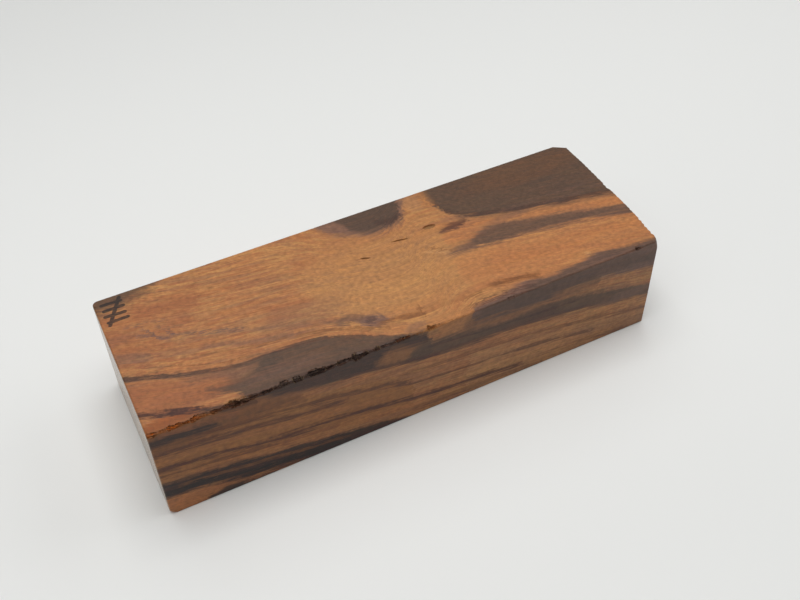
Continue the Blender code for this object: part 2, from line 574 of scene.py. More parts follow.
def splinterGuide(values, lanes, places):
    shape = bmesh.new()
    for lane in places["lanes"]:
        before = None
        for k in range(math.ceil(length / places["station"])):
            x = k * places["station"]
            if tearDepth(x)[0] < places["leastTear"]:
                before = None
                continue
            inward, down = tornProfile(x, values, lanes)[lane]
            vert = shape.verts.new(spot(x, width - inward - places["sunk"], down + places["sunk"]))
            if before:
                shape.edges.new((before, vert))
            before = vert
    return keep("splinters", shape)


def splinterTree(values, material):
    graph, given = newTree("splinters", values)
    points = pointsAlong(graph)
    # A slim spindle, one millimetre long and one across, lying along the grain.
    rod = graph.node("GeometryNodeMeshCone", None, {
        "Vertices": 6, "Radius Top": 0.12, "Radius Bottom": 0.5, "Depth": 1.0})
    lying = graph.node("GeometryNodeTransform", None, {
        "Geometry": rod, "Translation": (0.0, 0.0, 0.0), "Rotation": (0.0, math.pi / 2, 0.0)})
    thick = graph.drawn(given["Thinnest"], given["Thickest"], 1)
    size = graph.vector(graph.drawn(given["Shortest"], given["Longest"], 0), thick, thick)
    flip = graph.drawn(0.0, 1.0, 5).above(0.5) * math.pi
    lean = given["Lean"]
    turn = graph.vector(graph.drawn(-3.1, 3.1, 2), graph.drawn(lean * -1.0, lean, 3),
                        graph.drawn(lean * -1.0, lean, 4) + flip)
    real = graph.node("GeometryNodeRealizeInstances", None, [scatter(graph, points, lying, size, turn, 6)])
    # Nothing stands out of the sawn faces.
    inset = Vector((1, 1, 1)) * splinterInset * mm
    inside = graph.vectorMaths("MAXIMUM", graph.node("GeometryNodeInputPosition"), blockLow + inset)
    inside = graph.vectorMaths("MINIMUM", inside, blockHigh - inset)
    return endTree(graph, graph.moved(real, Position=inside), material)


print("the sawn end")

sawnEndValues = {
    "Kerf pitch": 1.4,
    "Kerf wander": 0.9,
    "Kerf least": 0.08,
    "Kerf most": 0.34,
    "Kerf lean": 0.035,
    "Fuzz": 0.10,
    "Seed": 5,
}
# How far the end stands back from the block's box, at a distance from the back face.
endProfile = {0: 0.55, 5: 0.45, 12: 0.25, 19: 0.30, 20.8: 0.42, 22.4: 0.12, 28.5: 0.02, 31.5: 0.18, 36: 0.35,
              40.5: 0.72, 46: 0.62}
sawnEndMesh = {"Vertices X": 2, "Vertices Y": 280, "Vertices Z": 60}


def sawnEndTree(values, margin, material):
    graph, given = newTree("sawn end", values)
    reach = Vector((margin, width + 2 * margin, height + 2 * margin)) * mm
    slab = graph.node("GeometryNodeMeshCube", None, {"Size": reach, **sawnEndMesh})
    middle = spot(length + margin / 2, width / 2, height / 2)
    placed = graph.node("GeometryNodeTransform", None, {"Geometry": slab, "Translation": middle})
    x, y, z = graph.split(graph.node("GeometryNodeInputPosition"))
    fromBack = (blockHigh.y - y) / mm
    down = (blockHigh.z - z) / mm
    inner = x.rise(blockHigh.x + 0.6 * mm, blockHigh.x + 0.4 * mm)
    wander = graph.noise(fromBack * 0.35, down * 0.02, 0.0) * given["Kerf wander"]
    along = (fromBack + down * given["Kerf lean"]) / given["Kerf pitch"] + wander
    number = along.floor()
    groove = 1.0 - ((along - number) * 2.0 - 1.0).size()
    depth = graph.drawn(given["Kerf least"], given["Kerf most"], 0, ID=number)
    fade = (fromBack / (width / 2)).least(1.0).most(0.4)
    uneven = graph.noise(fromBack * 0.8, down * 0.22, 3.0) + 0.5
    rough = graph.noise(fromBack * 2.2, down * 1.1, 0.0, detail=3.0)
    standBack = fromBack.path(endProfile) + groove * depth * fade * uneven + rough * given["Fuzz"]
    shift = graph.vector(standBack * inner * -mm, 0.0, 0.0)
    return endTree(graph, graph.moved(placed, Offset=shift), material)


print("checks and chips")

# Drying checks and the knot hole in the top: where they lie from the left end and the back, their length,
# width and depth, the degrees that they are turned by, and how much they narrow to their ends.
checks = [
    ((62.9, 16.1), (2.8, 0.50, 0.5), 20, 0.35),
    ((73.2, 14.2), (4.8, 0.50, 0.5), 10, 0.50),
    ((81.8, 13.2), (3.5, 1.50, 0.6), 3, 0.0),
]
checkValues = {"rough": 0.18, "roughScale": 2.6, "sway": 0.06}


# A pointed hollow with uneven walls.
def checkCutter(at, size, degrees, taper, values):
    shape = bmesh.new()
    bmesh.ops.create_icosphere(shape, subdivisions=4, radius=1.0)
    long, wide, deep = size
    turnX, turnY = math.cos(math.radians(degrees)), math.sin(math.radians(degrees))
    for vert in shape.verts:
        x, y, z = vert.co
        slim = 1 - taper * abs(x) ** 1.6
        uneven = 1 + values["rough"] * noise.noise((x * long * values["roughScale"], y * 2, z * 2 + long))
        ahead = x * long / 2
        aside = y * wide / 2 * slim * uneven + values["sway"] * wide * noise.noise((x * long, 4.0, 1.0))
        vert.co = spot(at[0] + ahead * turnX - aside * turnY, at[1] + ahead * turnY + aside * turnX,
                       -z * deep * uneven)
    return keep("check_cutter", shape)


chipValues = {
    "Spacing": 2.2,
    "Smallest": 0.05,
    "Largest": 0.20,
    "Long": 5.0,
    "Rough": 1.2,
    "Keep": 0.85,
    "Seed": 8,
}


# The edges that small chips have broken out of, each from one end to the other.
def chipGuide():
    inset = blankValues["easedEdge"] * 0.2
    edges = [
        ((1, inset, inset), (125, inset, inset)),
        ((2, width - inset, height - inset), (129, width - inset, height - inset)),
        ((2, inset, height - inset), (125, inset, height - inset)),
        ((inset, 2, inset), (inset, 42, inset)),
    ]
    shape = bmesh.new()
    for start, end in edges:
        shape.edges.new((shape.verts.new(spot(*start)), shape.verts.new(spot(*end))))
    return keep("chip_cutter", shape)


def chipTree(values, material):
    graph, given = newTree("chips", values)
    points = pointsAlong(graph)
    wobble = graph.vector(graph.drawn(-0.4, 0.4, 4), graph.drawn(-0.08, 0.08, 5), graph.drawn(-0.08, 0.08, 6))
    moved = graph.moved(points, Offset=graph.scaled(wobble, mm))
    pebble = graph.node("GeometryNodeMeshIcoSphere", None, {"Radius": 1.0, "Subdivisions": 2})
    dents = {"Vector": graph.node("GeometryNodeInputPosition"), "Scale": 1.3, "Detail": 1.0}
    dents = graph.node("ShaderNodeTexNoise", None, dents, output=1)
    dent = graph.vectorMaths("SUBTRACT", dents, (0.5, 0.5, 0.5))
    broken = graph.moved(pebble, Offset=graph.scaled(dent, given["Rough"]))
    size = graph.drawn(given["Smallest"], given["Largest"], 0)
    scale = graph.vector(size * graph.drawn(1.0, given["Long"], 1), size, size)
    turn = graph.vector(graph.drawn(-3.1, 3.1, 3), graph.drawn(-0.3, 0.3, 7), graph.drawn(-0.3, 0.3, 8))
    return endTree(graph, scatter(graph, moved, broken, scale, turn, 2), material)


print("the wood")

# Tones as they look on the lit top face.
tones = {
    "heart": (174, 124, 84),
    "straw": (181, 136, 92),
    "amber": (179, 121, 82),
    "pale": (192, 150, 108),
    "rust": (152, 100, 74),
    "umber": (124, 86, 62),
    "plum": (116, 93, 86),
    "dusk": (122, 96, 84),
    "mauve": (108, 87, 78),
    "smoke": (88, 76, 69),
    "wine": (88, 65, 60),
    "ink": (70, 52, 42),
    "coal": (54, 40, 34),
    "bark": (151, 106, 68),
    "vein": (84, 58, 46),
    "copper": (140, 84, 50),
    # painted highlight: splinter tips in the tears that catch the light
    "litSplinter": (204, 112, 54),
    "hole": (150, 112, 78),
    # painted sheen: the pale milky tone of the waxed left end, standing in for its grazing reflection
    "waxSheen": (214, 186, 146),
    "felt": (58, 50, 52),
}

# Noise that follows the grain: how fine it is along it, over the surface and into the wood, its shift into
# the wood, and its detail.
grains = {
    "broad": (0.02, 0.30, 0.12, 0.0, 2.0),
    "streak": (0.045, 1.1, 0.5, 0.0, 3.0),
    "strand": (0.03, 2.3, 1.2, 7.0, 3.0),
    "fibre": (0.14, 4.4, 2.6, 0.0, 2.0),
    "dash": (0.45, 3.4, 2.2, 0.0, 2.0),
    "tinge": (0.06, 0.5, 0.3, 40.0, 2.0),
    "stripe": (0.012, 0.55, 0.4, 20.0, 2.0),
}

# Each wash: its tone, the noise that it follows, where it starts to show and is full, and its strength.
washes = {
    "amber streaks": ("amber", "streak", 0.56, 0.40, 0.55),
    "rust strands": ("rust", "strand", 0.47, 0.62, 0.9),
    "pale strands": ("pale", "strand", 0.46, 0.30, 0.5),
    "dusky tinge": ("dusk", "tinge", 0.50, 0.66, 0.5),
    "rust over the marks": ("rust", "strand", 0.48, 0.66, 0.08),
    "hidden stripes": ("smoke", "stripe", 0.52, 0.60, 0.75),
    "hidden strands": ("umber", "strand", 0.52, 0.62, 0.6),
    "pores": ("umber", "dash", 0.60, 0.72, 0.5),
}

# A curve gives its value at each of a few places along the block. Places and levels are in millimetres.
woodValues = {
    "levels": (-5.0, 80.0),         # what the curves of the marks may reach
    "feather": (1.8, 0.9),          # how far the streaks and the fibres pull the edge of a mark
    "softness": 1.5,
    "endBlur": 1.6,
    "gaps": (0.42, 0.55),           # where the dashes of a broken mark start and are full
    "flowTop": {0: 0, 10: 3.5, 20: 6.5, 30: 8.5, 45: 11, 60: 18, 68: 20, 76: 16, 82: 14, 90: 16, 100: 19,
                115: 22, 130: 26},
    "flowFront": {0: 0, 20: 4, 45: 8.5, 75: 13, 105: 17, 130: 22},
    "hiddenWarp": 24.0,
    # How strongly the washes show, along the top and on the front.
    "plainTop": {0: 0.8, 35: 0.7, 55: 0.45, 75: 0.3, 95: 0.4, 130: 0.55},
    "plainFront": 0.65,
    "pores": {0: 0.9, 30: 0.7, 60: 0.35, 90: 0.35, 130: 0.5},
    "endShade": (0.30, 0.10),       # how much darker the end grain is, and its dots
    # painted sheen on the left end
    "waxFilm": (0.12, 0.42),        # the least of the milky film on the left end, and its unevenness
    "waxCoat": (0.45, 0.25),        # the film's weight and roughness
    "waxSmooths": 0.20,
    "sawnRoughens": 0.28,
    # painted shade in the torn recesses
    "tornShade": (0.45, 0.18),      # at the left end, and what is added further on
    # painted highlight on splinter tips in the tears, along the block
    "litTears": {0: 0.6, 4: 0.9, 11: 0.7, 17: 0.1, 30: 0.0, 52: 0.04, 64: 0.35, 74: 0.1, 130: 0.05},
    "holeStrength": 0.85,
    "tally": [((1.8, 2.2), (6.3, 2.4)), ((1.9, 4.3), (6.4, 4.2)), ((1.7, 6.2), (6.2, 6.4)),
              ((1.9, 8.3), (6.4, 8.2)), ((2.0, 9.2), (6.2, 1.3))],
    "tallyWide": 0.6,
    "tallyInk": (0.72, 0.20),       # its least strength, and its unevenness
    "roughness": 0.46,
    "specular": 0.4,
    "bump": (0.7, 0.045),           # strength, and depth in millimetres
}
levelSpan = woodValues["levels"][1] - woodValues["levels"][0]


# Levels are compared as parts of their span, so that a curve is one node.
def levelPart(level):
    return (level - woodValues["levels"][0]) / levelSpan


# What the marks of one face lie on. Their levels are measured from the level aside.
class Field:
    def __init__(self, reach, level, aside, gaps):
        self.reach = reach
        self.level = level
        self.aside = aside
        self.gaps = gaps

    # How far the level lies from a curve through given points.
    def past(self, points):
        placed = [(x / length, levelPart(y + self.aside)) for x, y in points.items()]
        return self.level - self.reach.curve(placed)


# A mark along a line, which fades out at its ends.
def streak(field, strength, wide, points):
    start, *between, end = points
    fade = min(2.0, (end - start) / 3)
    window = {start - fade / 2: 0.0, start + fade: strength, end - fade: strength, end + fade / 2: 0.0}
    shown = field.reach.curve([(x / length, y) for x, y in window.items()])
    half = wide / levelSpan
    return field.past(points).size().rise(half * 1.3, 0.1 * half) * shown


# The same, broken into dashes along the grain.
def dashes(field, *values):
    return streak(field, *values) * field.gaps


# A mark round one place.
def dab(field, strength, at, size):
    ahead = (field.reach - at[0] / length) * (length / size[0])
    beside = (field.level - levelPart(at[1] + field.aside)) * (levelSpan / size[1])
    return (ahead * ahead + beside * beside).rise(1.5, 0.3, strength)


# The curves of a patch cross just past its ends, so that it runs out to a point there.
def pointed(curve, other, soft, sense):
    made = dict(curve)
    for end, step in ((min, -1), (max, 1)):
        x = end(curve)
        if 0 < x < length:
            made[x + step * soft * 1.6] = (curve[x] + other[end(other)]) / 2 + sense * soft * 1.1
    return dict(sorted(made.items()))


# A mark between two soft curves, or from the back edge to the second one. It may fade in between two places.
def patch(field, strength, soft, upper, lower, starts=None):
    edge = soft * woodValues["softness"] / levelSpan
    if upper:
        mask = field.past(pointed(upper, lower, soft, 1.0)).rise(-edge, edge, strength)
        mask = mask * field.past(pointed(lower, upper, soft, -1.0)).rise(edge, -edge)
    else:
        mask = field.past(lower).rise(edge, -edge, strength)
    if starts:
        mask = mask * field.reach.rise(starts[0] / length, starts[1] / length)
    return mask


# Where the wood changes tone, with a few marks of painted shade by the torn edge. Each mark is its shape,
# tone and strength, then what its shape asks for.
# Levels run across the top from the back edge and on down the front.
topMarks = [
    (patch, "straw", 0.7, 4, {50: 12, 58: 10, 70: 12, 82: 15, 90: 26}, {50: 30, 60: 36, 75: 36, 90: 30}),
    (patch, "rust", 0.35, 2.5, {0: 5, 10: 6, 22: 7}, {0: 24, 10: 22, 22: 12}),
    (patch, "amber", 0.5, 3, {84: 26, 100: 28, 130: 33}, {84: 38, 100: 41, 130: 42}),
    (patch, "amber", 0.6, 1.2, {84: 17, 90: 16, 100: 18, 130: 24}, {84: 22, 92: 20, 100: 21, 130: 28}),
    (streak, "rust", 0.65, 2.6, {8: 8, 15: 9.3, 22: 10.5}),
    (streak, "plum", 0.55, 2.4, {-1: 20.3, 7: 22.5}),
    (streak, "rust", 0.6, 3.4, {-1: 13, 6: 15.8}),
    (streak, "rust", 0.35, 1.8, {35: 20.5, 42: 23.5}),
    (streak, "rust", 0.35, 1.2, {35: 24, 44: 27.5}),
    (dab, "dusk", 0.35, (42, 27), (12, 4)),
    (streak, "dusk", 0.6, 1.2, {19: 25.2, 28: 28.2, 38: 31.3}),
    (streak, "dusk", 0.45, 1, {23: 22.6, 32: 26, 42: 30}),
    (streak, "rust", 0.55, 0.8, {-1: 22, 10: 25.4, 20: 28.8, 30: 31.8}),
    (streak, "rust", 0.5, 0.8, {-1: 17, 9: 20.2, 18: 23.4, 28: 26}),
    (patch, "rust", 0.75, 1.4, {-2: 27.5, 10: 31.5, 22: 35}, {-2: 37, 10: 41, 22: 39}),
    # The shade in the left back corner.
    (patch, "smoke", 0.86, 1.8, None, {0: 4.9, 5: 4.3, 9: 3.4, 13: 2.4, 18: -2.5}),
    # The dark patch at the middle of the back edge.
    (patch, "plum", 0.85, 1.3, None, {
        54: -2.5, 57: 2, 60.5: 6, 63: 7.3, 66: 9, 69: 10, 73: 9.3, 76: 8.4, 78: 6.6, 79.5: 4, 80.5: 1.5,
        82: -2.5}),
    (patch, "smoke", 0.9, 1.2, None, {
        60: -2.5, 63: 3, 64.5: 6, 67: 7.8, 70: 8.6, 73: 8.2, 76: 7.4, 77.5: 5.5, 78.3: 3, 79.5: -2.5}),
    (streak, "ink", 0.4, 1.3, {71: 5.5, 74: 7, 77: 5.5}),
    (dab, "pale", 0.35, (82, 3.5), (2.4, 3.5)),
    (dab, "dusk", 0.3, (82.5, 1), (3, 4.5)),
    (dab, "dusk", 0.4, (101, 18.8), (6, 1.3)),
    # The great dark patch at the right of the back edge.
    (patch, "smoke", 0.93, 1.1, None, {
        84.6: -2.5, 85.6: 1, 86.6: 6.6, 89: 11.6, 93: 14.9, 100: 17.5, 111: 19.9, 123: 22.5, 130: 24.3},
        (84.6, 88.2)),
    (streak, "ink", 0.45, 0.9, {87.3: 6, 88.5: 10, 91: 12.6, 94: 14, 100: 16.2, 108: 18, 117: 20, 131: 23}),
    (dab, "umber", 0.22, (114, 5), (19, 4.5)),
    (streak, "plum", 0.35, 1.6, {86: 12.5, 89: 13.5, 92: 15}),
    (patch, "wine", 0.85, 0.45, {83: 16.4, 85: 15.2, 87: 14.7, 91.5: 14.6},
     {83: 16.9, 85: 17.1, 87: 17, 91.5: 15}),
    # The dark tongue that runs to the right end.
    (patch, "mauve", 0.85, 0.6,
     {81: 24, 84: 22.8, 88: 22.2, 92: 20.2, 97: 19.8, 103: 21.5, 111: 23.2, 119: 25.1, 130: 28.6},
     {81: 24.3, 84: 24.9, 92: 25.9, 100: 26.4, 108: 27.8, 119: 29.2, 130: 32.6}),
    (patch, "smoke", 0.5, 0.6, {89: 22.5, 93: 21.2, 97: 21, 103: 22.5, 112: 24.5, 120: 26.5, 130: 29.5},
     {89: 24.5, 95: 25.3, 104: 26, 112: 27, 120: 28.7, 130: 31.5}),
    (streak, "umber", 0.6, 0.35, {77.5: 20, 80: 21.3, 82: 22.6, 83.5: 23.4}),
    (streak, "pale", 0.5, 0.4, {77: 20.9, 79.5: 22, 82: 23.4}),
    # The smoky wisp in front of the middle.
    (dab, "mauve", 0.62, (51, 32.7), (3.4, 1.5)),
    (streak, "mauve", 0.5, 1.3, {45: 30.6, 50: 32.6, 55: 35, 60: 37}),
    (patch, "plum", 0.88, 0.9, {53: 33.8, 55: 33.3, 57: 33.6, 59: 35.8},
     {53: 35.6, 55: 37, 57: 37.5, 59: 37.2}),
    (dab, "ink", 0.4, (55.2, 35.2), (1.5, 1.1)),
    (streak, "umber", 0.7, 0.75, {57: 37, 60: 37.6, 64: 38.4, 67: 39}),
    (dab, "umber", 0.6, (66.9, 37.9), (0.5, 2.3)),
    (streak, "umber", 0.6, 0.8, {39: 32.3, 44: 33.2, 48: 34.5, 52: 36.5, 58: 39}),
    (dab, "plum", 0.45, (63.5, 41.6), (2.8, 0.9)),
    # Short dark pencil strokes left of the middle.
    (streak, "plum", 0.8, 0.8, {6.2: 15.2, 9: 16.6}),
    (streak, "plum", 0.9, 0.85, {8.6: 14, 9.8: 16.5, 11: 18, 12.8: 19.1}),
    (dashes, "plum", 0.9, 0.9, {11.6: 14.8, 13: 17, 14.3: 18.5, 16.5: 19.5, 21: 21.4, 24: 22.5, 28: 23.8}),
    (dashes, "plum", 0.6, 0.7, {5: 11.5, 9: 12.2, 14: 13}),
    (dab, "umber", 0.4, (23, 5.5), (0.8, 0.5)),
    (dab, "umber", 0.35, (26, 8), (0.6, 0.6)),
    (dab, "umber", 0.4, (61.3, 16.1), (1, 0.45)),
    (streak, "umber", 0.45, 0.35, {63.8: 21.3, 65.8: 22.1}),
    # The long stripes from the left end.
    (streak, "umber", 0.6, 0.3, {4: 24.9, 10: 27, 15: 29.2, 20: 31, 26: 32.4}),
    (streak, "umber", 0.55, 0.5, {17: 27.2, 22: 28.4, 27: 29.5, 32: 30.6, 36: 31.2}),
    (patch, "mauve", 0.72, 1.3, {12: 32, 20: 33.6, 32: 34}, {12: 32.8, 18: 35.2, 24: 38.8, 32: 38.8}),
    (patch, "smoke", 0.8, 0.6, {0: 25.3, 6: 27.6, 14: 30.8, 21: 33, 28: 33.4, 34: 34},
     {0: 27, 6: 29.2, 14: 32.3, 21: 34.1, 28: 35.4, 34: 34.8}),
    (streak, "ink", 0.5, 0.6, {-1: 25.9, 7: 28.6, 15: 31.6, 24: 33.5}),
    # The dark lens that folds over the front edge.
    (patch, "smoke", 0.92, 0.6,
     {15.5: 37, 18: 37.7, 22: 37.8, 26: 37, 29: 34.8, 33: 33.9, 43: 34.9, 50: 37.7, 61: 43.3, 66: 46.5},
     {15.5: 37.9, 20: 40.5, 24: 44.2, 32: 46.9, 40: 48.7, 52: 50.6, 66: 53.3}),
    (streak, "ink", 0.55, 0.45, {26: 33.6, 33: 34, 38: 34.3, 43: 35.1, 50: 37.9, 60: 42.6}),
    (dab, "plum", 0.3, (32, 39.5), (10, 2.2)),
    (dab, "copper", 0.8, (5, 42), (9, 1.9)),
    # Painted shade: a broken dark line along the torn front edge, joining the tears.
    (dashes, "coal", 0.5, 0.9, {12: 43, 24: 43.3, 40: 43.4, 62: 43.8}),
    (patch, "ink", 0.92, 0.4, {0: 36.8, 4: 38, 8: 39.3, 14: 41.9, 18: 43.4, 24: 45},
     {0: 38.3, 4: 39.7, 8: 41.2, 14: 43.6, 18: 45.2, 24: 46.5}),
    # The band that runs along the front edge on the right.
    (patch, "plum", 0.92, 0.55,
     {76: 43.6, 80: 42.2, 86: 41.8, 92: 40.8, 99: 41.8, 107: 41.5, 113: 40.3, 122: 42, 130: 43},
     {76: 44.7, 78: 47, 84: 47.7, 92: 49, 104: 48.3, 112: 48.9, 120: 50.5, 130: 52.6}),
    (streak, "smoke", 0.5, 2.6, {80: 44.6, 92: 45.6, 104: 45.4, 116: 46.4, 131: 48.5}),
    (streak, "smoke", 0.6, 1.5, {92: 42.8, 104: 42.7, 114: 41.9, 124: 43, 131: 43.8}),
    (dashes, "wine", 0.7, 1.3, {76: 43, 82: 41.6, 88: 42, 94: 42.8}),
    (streak, "umber", 0.55, 0.6, {78: 38.8, 80: 39, 82: 38.9, 83.8: 38.3}),
    (streak, "umber", 0.9, 1.1, {85: 38, 88: 38.5, 91: 38.9, 94: 39.5, 96.5: 40.6}),
    (streak, "rust", 0.35, 0.8, {74: 41, 75.5: 39.8, 77: 38.4, 78.5: 37.5}),
    (dab, "pale", 0.5, (111, 39.7), (0.8, 0.6)),
]

# Marks of the front face, measured down from its top edge.
frontMarks = [
    (patch, "bark", 0.75, 1.5, {-2: 0.6, 20: 1, 36: 7, 60: 15}, {-2: 17, 25: 20, 60: 24}),
    (patch, "pale", 0.35, 1.6, {78: 15, 100: 19, 131: 23}, {78: 29, 131: 34}),
    (patch, "umber", 0.68, 1, {-2: -0.6, 12: 0, 24: 2, 34: 5}, {-2: 6.2, 12: 7.4, 24: 7, 34: 7.2}),
    (patch, "ink", 0.8, 0.7, {-2: 1, 7: 2.2, 14: 3.4}, {-2: 4.4, 7: 4.6, 14: 5}),
    (streak, "coal", 0.5, 1.2, {-2: 2.6, 8: 3.4, 15: 4.3}),
    (streak, "rust", 0.45, 1, {3: 1.2, 10: 1.6, 20: 3.2}),
    # The lens's dark figure at the top of the front, deepened by painted shade under the lip of the tears.
    (patch, "ink", 0.55, 0.9, {16: -0.8, 64: -0.8}, {16: 0, 26: 2, 40: 4.6, 52: 6.4, 64: 9}),
    (patch, "heart", 0.62, 1.3, {53: 4.4, 57: 2.4, 62: 4.2, 68: 6}, {53: 5.8, 59: 7.6, 68: 8.4}),
    (patch, "smoke", 0.85, 0.7,
     {60: 7.8, 64: 4.8, 72: 5, 78: 6.2, 86: 7.4, 98: 7.6, 110: 9.3, 122: 12.8, 130: 14.8},
     {60: 8.6, 66: 9.7, 74: 10.6, 86: 10.8, 98: 12.5, 110: 14.5, 130: 18.8}),
    (streak, "wine", 0.5, 0.9, {64: 9.2, 76: 10.2, 90: 10.8, 104: 12.8, 116: 15.8, 124: 17.4}),
    (streak, "ink", 0.5, 0.7, {66: 6, 78: 7.4, 92: 8.6, 106: 10.4}),
    (dab, "wine", 0.4, (96.5, 10), (5.5, 2.2)),
    (dab, "dusk", 0.7, (122, 15.6), (9, 1.6)),
    (patch, "heart", 0.9, 0.5, {66.5: -1.5, 78: -1.5},
     {66.5: -0.8, 69: 3, 71: 4.3, 73: 4.6, 75: 3.5, 78: -1}),
    (streak, "wine", 0.7, 0.8, {44: 5.6, 48: 5.7, 52: 6.8, 56: 7.6, 60: 8.5, 68: 9.5}),
    (patch, "smoke", 0.5, 1.2, {76: 2, 100: 2.6, 112: 4.5}, {76: 6.4, 100: 7.4, 112: 7.6}),
    (streak, "vein", 0.75, 0.9, {-1: 6.8, 10: 8, 20: 9.6, 30: 11.2, 44: 13.2}),
    (streak, "amber", 0.45, 0.9, {-1: 9.6, 12: 10.6, 26: 13, 40: 15.2, 56: 18}),
    (streak, "vein", 0.65, 0.75,
        {36: 9.8, 44: 11.2, 50: 12.8, 56: 14, 62: 16.5, 72: 17.9, 88: 19.5, 98: 21, 112: 23.8}),
    (streak, "vein", 0.9, 1,
        {-1: 11.8, 8: 13, 16: 14.6, 26: 16.8, 36: 18, 46: 19.2, 58: 21.4, 66: 23, 76: 23.9, 92: 25.7}),
    (streak, "vein", 0.6, 0.7, {-1: 14.6, 10: 15.8, 20: 17.4, 30: 19.6, 42: 21}),
    (streak, "amber", 0.4, 0.8, {8: 17, 22: 18.8, 36: 20.4, 50: 22.6, 64: 25.2}),
    (streak, "vein", 0.55, 0.7, {8: 5, 14: 6.2, 24: 7.5, 32: 9, 42: 9.8}),
    (streak, "vein", 0.45, 0.7, {58: 12, 70: 13.4, 84: 14.6, 96: 16.6, 106: 18.4}),
    (streak, "vein", 0.5, 0.8, {104: 18, 111: 19.2, 118: 20.4, 124: 21.8, 131: 23.2}),
    (streak, "vein", 0.4, 0.7, {62: 26, 76: 27, 88: 27.8, 98: 28.6}),
    (streak, "vein", 0.4, 0.6, {100: 25.4, 112: 26.6, 124: 28.2}),
    # The ink-dark band along the bottom left, with the orange wedge under it.
    (patch, "ink", 0.95, 0.7, {0: 17, 8: 17.9, 16: 19.2, 24: 21.2, 32: 22.6, 44: 24.6, 56: 27.3, 64: 30.5},
     {0: 22.8, 8: 23.2, 14: 25.3, 20: 27, 28: 28.3, 40: 31, 64: 34}),
    (streak, "coal", 0.8, 1.5, {-1: 21, 8: 21.6, 18: 24.4, 30: 26.2, 44: 28}),
    (streak, "coal", 0.55, 0.8, {-1: 18, 12: 19.4, 26: 22.2, 40: 24.6, 54: 27.4}),
    (streak, "bark", 0.45, 0.5, {4: 19.8, 16: 21.6, 28: 23.9, 44: 26.4}),
    (patch, "amber", 0.75, 0.5, {-2: 23.2, 8: 23.6, 14: 25.7, 20: 27.4, 27: 29.5}, {-2: 34, 27: 34}),
    (patch, "coal", 0.9, 0.45, {8: 29.6, 11: 27.6, 14: 26.7, 20: 27.8, 26: 29.5}, {8: 34, 26: 34}),
    (patch, "plum", 0.2, 0.7, {107: 20.5, 112: 21, 124: 23.7}, {107: 23, 112: 24, 124: 25.4}),
    (dab, "plum", 0.3, (126, 27), (6, 2.2)),
]


# What the studio's light adds to a tone is taken off it here.
def pigment(tone):
    shades = [part / 255 for part in tones[tone]]
    linear = [((part + 0.055) / 1.055) ** 2.4 for part in shades]
    return (*[max(0.004, (part - 0.035) / 0.945) for part in linear], 1.0)


def stain(colour, mask, tone):
    return colour.graph.blend(mask, colour, pigment(tone))


# Brighter or darker by a wire round one, in each of the three colours.
def shaded(colour, red, green, blue):
    tint = colour.graph.node("ShaderNodeCombineColor", None, [red, green, blue])
    return colour.graph.blend(1.0, colour, tint, "MULTIPLY")


def addGrain(at, *names):
    for name in names:
        fine, over, into, shift, detail = grains[name]
        x, y, z = at.along * fine, at.flow * over, at.cross * into
        setattr(at, name, at.graph.noise(x, y, z + shift if shift else z, detail))


# The wires that all of the wood shares. Places are in millimetres, and the level runs across the top and on
# down the front.
def woodWires(graph, values):
    at = SimpleNamespace(graph=graph)
    x, y, z = graph.split(graph.node("ShaderNodeTexCoord", output=3))
    at.plainAlong = (x - blockLow.x) / mm
    at.across = (blockHigh.y - y) / mm
    at.down = (blockHigh.z - z) / mm
    at.hidden = (at.down / height) * (1.0 - at.across / width)
    wander = graph.noise(at.plainAlong * 0.02, at.across * 0.05, at.down * 0.05) - 0.5
    at.along = at.plainAlong + at.hidden * wander * (values["hiddenWarp"] * 2)
    at.level = at.across + at.down * (at.across / width * 0.4 + 0.6)

    # The grain flows aslant: the level that a fibre keeps along the block.
    at.onFront = at.level.rise(width - 3, width + 9)
    flowTop = at.along.path(values["flowTop"])
    flowFront = at.along.path(values["flowFront"])
    at.flow = at.level - (flowTop + (flowFront - flowTop) * at.onFront)
    at.cross = at.across - at.down
    addGrain(at, "broad", "streak", "strand", "fibre", "dash")
    at.mottle = graph.noise(at.along * 0.9, at.across * 0.9, at.down * 0.9)
    feather = (at.streak - 0.5) * (values["feather"][0] * 2) + (at.fibre - 0.5) * (values["feather"][1] * 2)
    at.markLevel = levelPart(at.level + feather)
    at.reach = (at.along + (at.mottle - 0.5) * (values["endBlur"] * 2)) / length
    return at


# Lays one of the washes over the colour, as far as the masks let it show.
def wash(at, colour, name, *masks):
    tone, grain, start, full, strength = washes[name]
    shown = getattr(at, grain).rise(start, full)
    for mask in masks:
        shown = shown * mask
    return stain(colour, shown * strength, tone)


def plainWood(at, values):
    colour = at.graph.blend(at.broad.rise(0.38, 0.62), pigment("heart"), pigment("straw"))
    colour = wash(at, colour, "amber streaks")
    plain = at.along.path(values["plainTop"])
    plain = plain + (values["plainFront"] - plain) * at.onFront
    colour = wash(at, colour, "rust strands", plain)
    colour = wash(at, colour, "pale strands", plain)
    addGrain(at, "tinge")
    return wash(at, colour, "dusky tinge", plain)


def markedWood(at, colour, values):
    for marks, aside in ((topMarks, 0.0), (frontMarks, width)):
        field = Field(at.reach, at.markLevel, aside, at.dash.rise(*values["gaps"]))
        for shape, tone, *rest in marks:
            colour = stain(colour, shape(field, *rest), tone)
    colour = wash(at, colour, "rust over the marks")

    # Stripes of the faces that the photograph doesn't show.
    deep = at.hidden.rise(0.05, 0.3)
    addGrain(at, "stripe")
    colour = wash(at, colour, "hidden stripes", deep)
    return wash(at, colour, "hidden strands", deep)


